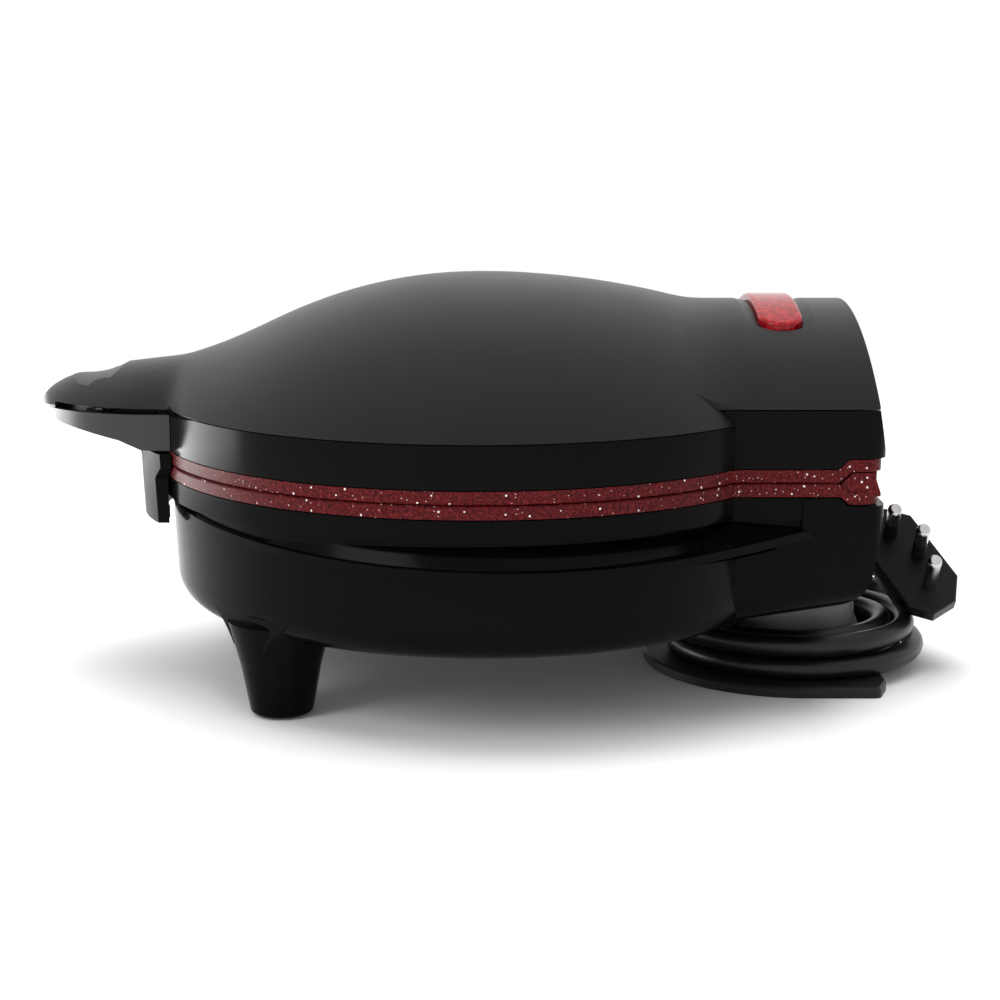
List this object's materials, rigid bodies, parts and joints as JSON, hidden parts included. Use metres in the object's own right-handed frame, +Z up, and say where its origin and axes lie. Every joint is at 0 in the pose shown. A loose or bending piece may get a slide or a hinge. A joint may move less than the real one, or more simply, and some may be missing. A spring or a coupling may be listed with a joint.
{
  "type": "omelette maker",
  "caption": "Round hinged omelette maker with a domed lid, front handle and latch, two cooking plates, front legs, and a rear stand that holds the wound cord.",
  "frame": {"origin": "middle of the footprint's length and width, on the table under the feet", "axes": "+X across the appliance, +Y from the handle to the hinge, +Z up"},
  "size_m": [0.188, 0.2638, 0.1135],
  "materials": {
    "cover_matte": "fine matte moulded black",
    "housing_gloss": "polished black moulding",
    "plate_coating": "red stone-look non-stick coating with pale speckles on cast aluminium",
    "heater_steel": "dull sheathed element",
    "shield_aluminium": "thin bright sheet",
    "screw_steel": "zinc plated",
    "pin_steel": "ground pin",
    "block_plastic": "natural heat-proof plastic",
    "thermostat_metal": "pressed cap",
    "wire_sleeve": "silicone sleeving",
    "cord_rubber": "satin black cord",
    "plug_plastic": "satin black moulded plug",
    "contact_metal": "bright nickel plated",
    "foot_rubber": "soft black rubber",
    "lens_red": "translucent red",
    "lamp_glass": "clear neon bulb"
  },
  "bodies": {
    "base": {"lower_housing": "housing_gloss", "front_foot_pads": "foot_rubber", "rear_stand": "housing_gloss", "rear_stand_screws": "screw_steel", "lower_plate": "plate_coating", "lower_heating_element": "heater_steel", "lower_heat_shield": "shield_aluminium", "lower_plate_screws": "screw_steel", "thermostat": "thermostat_metal", "thermal_fuse": "thermostat_metal", "terminal_block": "block_plastic", "base_wires": "wire_sleeve", "cord_clamp": "block_plastic", "cord_clamp_screws": "screw_steel", "cord_gland": "foot_rubber", "hinge_pins": "pin_steel", "cord_lead": "cord_rubber", "cord_winding": "cord_rubber", "cord_tail": "cord_rubber", "plug_body": "plug_plastic", "plug_pins": "contact_metal", "plug_pin_sleeves": "plug_plastic"},
    "lid": {"lid_cover": "cover_matte", "lid_skirt": "housing_gloss", "handle_underside": "housing_gloss", "handle_screws": "screw_steel", "upper_plate": "plate_coating", "upper_heating_element": "heater_steel", "upper_heat_shield": "shield_aluminium", "upper_plate_screws": "screw_steel", "pilot_lens": "lens_red", "pilot_lamp": "lamp_glass", "pilot_lamp_holder": "block_plastic", "lid_wires": "wire_sleeve", "latch_pin": "pin_steel"},
    "latch": {"latch": "housing_gloss"}
  },
  "joints": [
    {"name": "lid_hinge", "type": "hinge", "parent": "base", "child": "lid", "pos_m": [0, 0.10875, 0.0638], "axis": [-1, 0, 0], "range_deg": [0, 95]},
    {"name": "latch_pivot", "type": "hinge", "parent": "lid", "child": "latch", "pos_m": [0, -0.08885, 0.0734], "axis": [-1, 0, 0], "range_deg": [0, 25]}
  ]
}
